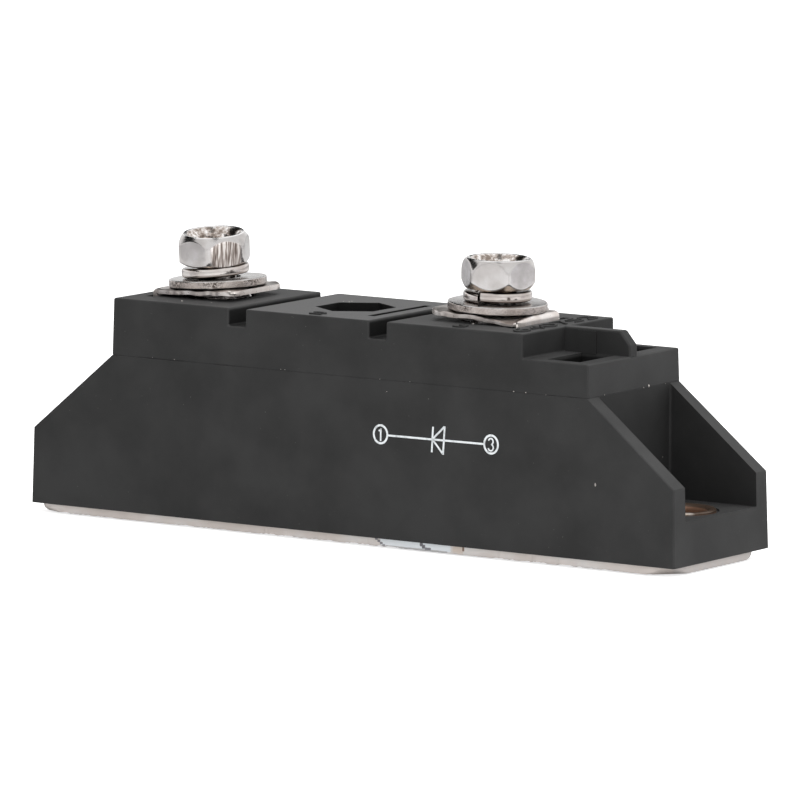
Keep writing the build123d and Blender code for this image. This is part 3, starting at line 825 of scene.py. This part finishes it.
def hexagon_reach(turn, flats, start_deg, power):
    """How far a hexagon with rounded edges reaches at each angle: the power mean of its six
    sides, so a flat is met at its middle and the corner between two is rounded off."""
    total = 0
    for place in range(6):
        side = np.cos(turn - math.radians(start_deg + 30 + 60 * place))
        total = total + np.clip(side, 0, None) ** power
    return flats / 2 * total ** (-1 / power)


def soft_least(first, second, blend):
    """The smaller of two lengths, with the corner where they cross rounded over a blend."""
    return 0.5 * (first + second - np.sqrt((first - second) ** 2 + blend ** 2))


def screw_mesh(stack, name):
    """A screw as rings round its axis, from the end of the thread to the middle of the dish. The
    thread is a triangle wave that climbs once a turn, the head is a hexagon cut by a rounded cone
    above and below, and the dish is a cone down to a floor with a cross-shaped recess."""
    turn = np.linspace(0, 2 * math.pi, 288, endpoint=False)
    head_height, top, bottom = (stack[size] for size in ("head_height", "chamfer_top", "chamfer_bottom"))
    brim = head_height - dish_lip
    rings = []

    def ring(radius, level):
        rings.append(round_axis(radius, turn, level))

    ring(0, -screw_length)
    for level in np.linspace(-screw_length, -0.02, 150):
        climb = (level / thread_pitch - turn / (2 * math.pi)) % 1
        crest = np.clip(thread_slope * (0.5 - np.abs(climb - 0.5)), 0, 1)
        point = np.clip((level + screw_length) / point_length, 0, 1)
        ring(thread_radius - thread_depth * (1 - crest) - point_cut * (1 - point), level)
    reach = hexagon_reach(turn, stack["flats"], stack["head_turn"], stack["edge_power"])
    for share in (0.72, 0.95):
        ring(head_rim * share, 0)
    for level in np.concatenate([np.linspace(0, bottom, 15), np.linspace(1.1, 1.9, 4),
                                 np.linspace(head_height - top, head_height, 24)]):
        up = np.clip((level - (head_height - top)) / top, 0, 1)
        down = np.clip((bottom - level) / bottom, 0, 1)
        upper_cone = head_rim + stack["chamfer_reach"] * (1 - up) ** stack["chamfer_power"]
        lower_cone = foot_rim + foot_reach * (1 - down)
        cone = upper_cone if up > 0 else lower_cone if down > 0 else 2 * stack["flats"]
        ring(soft_least(reach, cone, edge_blend), level)
    for share in np.linspace(0, 1, 9):
        ring(dish_radius + (dish_floor - dish_radius) * share,
             brim - dish_depth * eased(share) ** 0.8)
    for radius in np.linspace(dish_floor, 0, 34)[1:]:
        x = radius * np.cos(turn - math.radians(stack["head_turn"]))
        y = radius * np.sin(turn - math.radians(stack["head_turn"]))
        arm = np.minimum(np.maximum(np.abs(x) / cross_reach, np.abs(y) / cross_half),
                         np.maximum(np.abs(x) / cross_half, np.abs(y) / cross_reach))
        sunk = np.clip((1.25 - arm) / 0.45, 0, 1)
        rough = 0.1 * waves(x * 1.3 + y * 2.1, (0.9, 1.7), 3) * np.clip(1.4 - arm, 0, 1)
        ring(radius, brim - dish_depth - cross_depth * eased(sunk) + rough)
    standing = on_screw(stack, np.array(rings) + np.array([0, 0, stack["head_seat"]]))
    return rings_mesh(name, standing, crease_deg=50)


def marked(stack, piece):
    """Gives each point of a screw the shares that its material reads, from its place in the
    screw's own frame: in the dish, on the dish's rim, on the face that the die tore, and below."""
    places = np.empty(3 * len(piece.data.vertices))
    piece.data.vertices.foreach_get("co", places)
    standing = places.reshape(-1, 3) * 1000 - np.array([stack["x"], 0, strip_level - stack["pivot"]])
    own = standing @ tilt(stack["lean_x"], stack["lean_y"])
    level = own[:, 2] - stack["pivot"] - stack["head_seat"]
    radius = np.hypot(own[:, 0], own[:, 1])
    torn_side = math.radians(stack["head_turn"] - 30)
    out = own[:, 0] * math.cos(torn_side) + own[:, 1] * math.sin(torn_side)
    reach = hexagon_reach(np.arctan2(own[:, 1], own[:, 0]), stack["flats"], stack["head_turn"],
                          stack["edge_power"])
    near_top = np.clip((level - stack["head_height"] + 0.12) / 0.05, 0, 1)
    drawn_in = np.clip((reach - radius - 0.02) / 0.08, 0, 1)
    shares = {
        "dish": np.clip((dish_radius - radius) / 0.06, 0, 1) * (level > stack["head_height"] - 1.9),
        "lip": (radius > dish_radius - 0.04) * near_top,
        "torn": stack["torn"] * np.clip((out - stack["flats"] / 2 + 0.05) / 0.04, 0, 1),
        "below": (level < stack["chamfer_bottom"]) * (level > -0.3) * drawn_in,
    }
    for name, share in shares.items():
        piece.data.attributes.new(name, "FLOAT", "POINT").data.foreach_set("value", share)


# Bright nickel over cold-drawn steel, with one face left in vertical tears by the die, a bright rim
# round the dish, painted reflection in light and dark patches in the dish, and a painted reflection
# of the washer, brown and dark, on the chamfer under the head.
head_nickel = plated_metal("bright_nickel_on_cold_drawn_steel", "#BDB9B7", "#C7C3C1", "#D0CDCC",
                           0.2, 1.8, 0.28, (1, 1, 14), 0.02)
tree, shader, tone = reopened(head_nickel)
tears = toned(tree, noise(tree, 0.2, (1, 1, 24), 2.0),
              (0.38, "#6E625C"), (0.50, "#ADA29C"), (0.62, "#EFE9E5"))
# Painted reflection: light and dark patches in the dish.
dish_painted_reflection = toned(tree, noise(tree, 0.7, detail=4.0, roughness=0.65),
               (0.40, "#8F8279"), (0.51, "#CCC2BB"), (0.60, "#FBF8F6"))
# Painted reflection of the washer below, brown and dark, on the chamfer under the head.
underside_painted_reflection = toned(tree, noise(tree, 1.8, detail=1.0), (0.42, "#4E423B"), (0.58, "#D8C8B8"))
for part, colour in (("torn", tears), ("dish", dish_painted_reflection), ("lip", "#F4F2F1"), ("below", underside_painted_reflection)):
    share = add(tree, "Attribute", {"attribute_name": part}).outputs["Fac"]
    tone = over(tree, tone, share, colour)
tree.links.new(tone, shader.inputs["Base Color"])
torn = add(tree, "Attribute", {"attribute_name": "torn"}).outputs["Fac"]
tree.links.new(ranged(tree, torn, 0.0, 1.0, 1.0, 0.45), shader.inputs["Metallic"])
for side, stack in stacks.items():
    screw = screw_mesh(stack, "hexagon_screw_" + side)
    marked(stack, screw)
    dress(screw, head_nickel)
    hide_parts("terminal_screw_" + side)
    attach(screw, "root")
    dress(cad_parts["terminal_nut_" + side], head_nickel)


# Print on the front
# The circuit in pale grey pad-printed ink: a circle round the number of each terminal, a line
# between them, and the diode's bar and triangle.
ink_level = 0.015
front_lean = math.tan(math.radians(1.28))
front_foot = 1.0
front_half = 10.0


def on_front(route, stand):
    """Places on the sloping front, given as X and height and standing off it by that much: the
    wall leans in as it rises."""
    wall = -(front_half - (route[:, 1] - front_foot) * front_lean)
    return columns(route[:, 0], wall - stand, route[:, 1])


def stroke(route, width, low, high, where, closed=False):
    """A flat band along a route of two-dimensional points: four lines, left and right of the
    route, at a low and a high stand over the surface that where maps the points to."""
    route = np.asarray(route, float)
    if closed:
        ahead = np.roll(route, -1, axis=0) - np.roll(route, 1, axis=0)
    else:
        ahead = np.gradient(route, axis=0)
    ahead /= np.linalg.norm(ahead, axis=1)[:, None]
    beside = columns(-ahead[:, 1], ahead[:, 0]) * width / 2
    corners = [(-1, low), (1, low), (1, high), (-1, high)]
    rings = np.stack([where(route + beside * way, stand) for way, stand in corners], axis=1)
    if closed:
        return rings
    ends = [np.repeat(rings[place].mean(axis=0)[None], 4, axis=0)[None] for place in (0, -1)]
    return np.concatenate([ends[0], rings, ends[1]])


def arc(x, height, wide, tall, start, end, count=24):
    """Points on an ellipse between two angles in degrees."""
    turn = np.radians(np.linspace(start, end, count))
    return columns(x + wide * np.cos(turn), height + tall * np.sin(turn))


# Pale grey ink, matt, and thin in places where the black shows through.
ink, tree, shader = new_material("pale_grey_pad_print_ink")
finished(tree, shader, toned(tree, noise(tree, 0.5), (0.3, "#A9ADAF"), (0.5, "#CDD1D3")), 0.0, 0.6)
shader.inputs["Specular IOR Level"].default_value = 0.3

circle_places = [(4.9, 13.24), (20.5, 13.30)]
circle_wide = 0.96
circle_tall = 1.05
line_width = 0.23
circle_width = 0.25
apex = (12.25, 13.24)
circles = [arc(x, height, circle_wide, circle_tall, 0, 355, 72) for x, height in circle_places]
circuit = {
    "print_circle_1": (circles[0], circle_width, True),
    "print_circle_3": (circles[1], circle_width, True),
    "print_digit_1": ([(4.64, 13.62), (4.82, 13.72), (4.93, 13.98), (4.92, 13.2), (4.92, 12.46)],
                      0.2, False),
    "print_digit_3": (np.concatenate([arc(20.46, 13.63, 0.32, 0.36, 165, -75, 14),
                                      arc(20.46, 12.93, 0.36, 0.38, 70, -165, 14)]), 0.18, False),
    "print_line": ([(5.95, 13.19), (12.25, 13.22), (19.48, 13.27)], line_width, False),
    "print_bar": ([(12.32, 14.71), apex, (12.18, 11.72)], line_width, False),
    "print_triangle_upper": ([apex, (13.92, 14.83)], line_width, False),
    "print_triangle_lower": ([apex, (13.78, 11.62)], line_width, False),
    "print_triangle_side": ([(13.96, 14.88), (13.87, 13.2), (13.77, 11.56)], line_width, False),
}
for name, (route, width, closed) in circuit.items():
    piece = rings_mesh(name, stroke(route, width, -ink_level, ink_level, on_front, closed), closed)
    dress(piece, ink)
    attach(piece, "root")


# Moulded numbers on the cover
# Plain digits that stand a fifth of a millimetre proud of the cover: a terminal number by the
# middle and the right place, and a row along the step that reads from the low end.
digit_rise = 0.2
digit_root = 0.1
digit_width = 0.34
row_x = 24.05
row_start = -8.45
row_pitch = 2.75
glyphs = {
    "0": [(0.5, 0), (0.12, 0.2), (0, 0.7), (0.12, 1.2), (0.5, 1.4), (0.88, 1.2), (1, 0.7), (0.88, 0.2),
          (0.5, 0)],
    "2": [(0.02, 1.1), (0.2, 1.35), (0.6, 1.4), (0.95, 1.12), (0.8, 0.7), (0.35, 0.35), (0.02, 0.0),
          (1, 0.0)],
    "3": [(0.02, 1.25), (0.45, 1.4), (0.92, 1.2), (0.82, 0.85), (0.42, 0.74), (0.9, 0.6), (0.98, 0.22),
          (0.5, 0.0), (0.0, 0.15)],
    "4": [(0.74, 0.0), (0.74, 0.7), (0.74, 1.4), (0.35, 0.9), (0.0, 0.42), (0.5, 0.42), (1, 0.42)],
    "5": [(0.92, 1.4), (0.15, 1.4), (0.08, 0.8), (0.55, 0.9), (0.98, 0.6), (0.85, 0.12), (0.4, 0.0),
          (0.0, 0.15)],
    "6": [(0.85, 1.3), (0.4, 1.35), (0.05, 0.9), (0.0, 0.4), (0.3, 0.02), (0.8, 0.08), (1, 0.45),
          (0.7, 0.82), (0.1, 0.6)],
    "7": [(0.0, 1.4), (1.0, 1.4), (0.6, 0.7), (0.35, 0.0)],
}
moulded_digits = [("2", -6.15, -8.81, 1.9, 1.1, False), ("3", 14.5, -8.9, 1.45, 1.03, False)]
moulded_digits += [(digit, row_x, row_start + row_pitch * place, 2.2, 1.36, True)
                   for place, digit in enumerate("640753")]


def on_cover(x, y, wide, tall, turned):
    """How a digit's own points map to the cover: from its lower left corner, by its width and its
    height, read from the front or, where turned, from the low end."""
    def place(route, stand):
        right, up = route[:, 0] * wide, route[:, 1] * tall
        flat = (x - up, y + right) if turned else (x + right, y + up)
        return columns(*flat, cover_top + stand)
    return place


def softened(route):
    """The route with its corners cut twice at a quarter and three quarters of each side."""
    route = np.asarray(route, float)
    for cut in range(2):
        near = 0.75 * route[:-1] + 0.25 * route[1:]
        far = 0.25 * route[:-1] + 0.75 * route[1:]
        middle = np.stack([near, far], axis=1).reshape(-1, 2)
        route = np.concatenate([route[:1], middle, route[-1:]])
    return route


for number, (digit, x, y, wide, tall, turned) in enumerate(moulded_digits):
    band = stroke(softened(glyphs[digit]), digit_width / wide, -digit_root, digit_rise,
                  on_cover(x, y, wide, tall, turned))
    piece = rings_mesh("moulded_digit_%d" % number, band)
    dress(piece, cover_plastic)
    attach(piece, "root")


# Glue in the seam
# The cover is glued on the housing, and black glue fills the seam nearly flush. It stands back in
# a few places, where the seam shows as a dark line, and bright crumbs of it stick out in others.
glue_height = 0.13
glue_depth = 0.3
glue_back = 0.015
lump_height = 0.012
gap_depth = 0.12
seam_width = 19.168
seam_corner = 0.24
bare_seam_x = -26.7
seam_middle = (cover_left + cover_right) / 2
glue_plan, along_seam = rounded_plan(cover_right - cover_left, seam_width, [seam_corner] * 4, 0.2)
glue_plan[:, 0] += seam_middle
missing = np.clip(waves(along_seam, (23.0, 9.0, 4.1), 5) * 2 - 0.75, 0, 1)
bare = np.clip(1.5 - np.abs(glue_plan[:, 0] - bare_seam_x) / 3, 0, 1) * (glue_plan[:, 1] < 0)
missing = np.maximum(missing, bare)
inward = columns(seam_middle - glue_plan[:, 0], -glue_plan[:, 1])
inward = np.where(np.abs(glue_plan[:, 1:]) > 9.5, [0, 1], [1, 0]) * np.sign(inward)
lumps = waves(along_seam, (0.7, 1.9), 8)
glue_face = glue_back + lump_height * lumps + gap_depth * missing
glue_rings = []
for back, level in ((0, -1), (0, -0.4), (0, 0.4), (0, 1), (1, 1), (1, -1)):
    inset = glue_depth * back + (1 - back) * glue_face
    flat = glue_plan + inward * inset[:, None]
    glue_rings.append(columns(*flat.T, seam_level + glue_height * level))
glue_line = rings_mesh("seam_glue", np.array(glue_rings).transpose(1, 0, 2), True)
dress(glue_line, moulded_plastic("black_epoxy_glue", "#1C1C1C", "#262626"))
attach(glue_line, "root")


# Crumbs and dust
# Bright crumbs of nickel, glue and lint that lie on the plastic where work left them, and the
# larger burrs at the strips' corners. Each is a small lump, given by its place, its size and,
# where it is a streak or a flake, how tall it is for its size.
crumb_places = [
    (4.72, -9.6, 19.7, 0.04), (8.97, -9.6, 19.72, 0.04), (23.57, -9.6, 19.69, 0.05),
    (25.24, -9.6, 19.7, 0.04), (28.02, -9.6, 19.66, 0.04), (5.69, -9.62, 18.31, 0.04),
    (11.62, -9.63, 17.89, 0.04), (35.04, -9.8, 9.81, 0.08, 2.6), (33.87, 1.93, 19.68, 0.04),
    (33.88, 3.0, 19.75, 0.06, 2.8), (33.87, 6.54, 19.62, 0.04), (33.87, -6.16, 19.7, 0.05),
    (33.87, 5.97, 11.11, 0.05), (45.9, 0.89, 1.91, 0.06, 1.8), (-23.51, -3.36, 26.45, 0.09),
    (-23.06, -2.46, 26.45, 0.1), (-21.62, 0.89, 26.45, 0.11), (-26.71, -1.15, 26.45, 0.06),
    (-27.0, -8.14, 26.43, 0.04), (-25.41, -7.49, 26.43, 0.07), (-21.83, -6.48, 26.43, 0.06),
    (14.83, -5.2, 26.45, 0.13), (-33.4, -9.3, 25.6, 0.04), (-9.7, 3.4, 26.40, 0.10),
    (-8.8, 3.3, 26.40, 0.12), (-8.9, 4.0, 26.40, 0.08), (-28.2, -9.6, 19.75, 0.04),
    (-25.0, -9.6, 19.75, 0.04), (-9.5, -9.6, 19.75, 0.06, 0.4), (-8.9, -9.6, 19.75, 0.06, 0.4),
    (21.1, -5.35, 26.62, 0.2), (20.75, -5.35, 26.85, 0.2), (-19.5, -5.3, 27.55, 0.34, 0.7),
    (-19.95, -5.4, 27.64, 0.26, 0.7), (22.5, 1.2, 26.95, 0.1),
]
spin = np.linspace(0, 2 * math.pi, 10, endpoint=False)
lean = np.linspace(-math.pi / 2, math.pi / 2, 7)
ball = np.stack([np.cos(lean)[:, None] * np.cos(spin), np.cos(lean)[:, None] * np.sin(spin),
                 np.sin(lean)[:, None] + 0 * spin], axis=2)
# Grey to bone white in specks, so that metal chips, glue and lint pass for one another.
pale_crumb, tree, shader = new_material("pale_metal_and_glue_crumb")
finished(tree, shader, toned(tree, noise(tree, 0.4), (0.38, "#66625F"), (0.62, "#BFB9B4")), 0.0, 0.45)
for number, (x, y, level, size, *tall) in enumerate(crumb_places):
    lump = 1 + 0.35 * waves(7.0 * ball[:, :, :1] + 3.0 * ball[:, :, 2:], (5.0, 2.0), number)
    height = tall[0] if tall else 0.9 + 0.4 * math.cos(2.3 * number)
    stretch = np.array([1.0 + 0.5 * math.sin(number), 0.8, height])
    crumb = rings_mesh("crumb_%02d" % number, ball * lump * stretch * size + np.array([x, y, level]))
    dress(crumb, pale_crumb)
    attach(crumb, "root")


# Inside the housing
# The isolating stack that the strips stand on, from the plate up: solder, copper-clad alumina with
# its two pads, the silicon chip with its contact disc and clip, then soft gel under hard epoxy.
def plain_finish(name, dark, pale, metallic, roughness, size_mm):
    """A finish of two tones in small clouds with a matching relief."""
    made, tree, shader = new_material(name)
    cloud = noise(tree, size_mm)
    finished(tree, shader, toned(tree, cloud, (0.4, dark), (0.6, pale)), metallic, roughness)
    textured(tree, shader, cloud, 0.2, 0.03)
    return made


solder = plain_finish("frozen_tin_solder", "#9C9DA0", "#B8B9BC", 1.0, 0.4, 0.8)
copper = plain_finish("bonded_copper_foil", "#B06A48", "#C8825C", 1.0, 0.35, 1.2)
alumina = plain_finish("fired_alumina_ceramic", "#E4E2DC", "#F0EEE9", 0.0, 0.5, 0.6)
silicon = plain_finish("etched_silicon_chip", "#3F434B", "#565B64", 0.6, 0.3, 0.5)
gel = plain_finish("soft_silicone_gel", "#C9CCC6", "#D8DAD5", 0.0, 0.2, 4.0)
epoxy = plain_finish("black_potting_epoxy", "#171615", "#232220", 0.0, 0.3, 3.0)
inside = {
    "substrate_solder": solder, "chip_solder": solder, "substrate_backing": copper,
    "cathode_pad": copper, "anode_pad": copper, "anode_clip": copper, "contact_disc": copper,
    "ceramic_substrate": alumina, "diode_chip": silicon, "silicone_gel": gel, "epoxy_fill": epoxy,
}
for name, made in inside.items():
    dress(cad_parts[name], made)
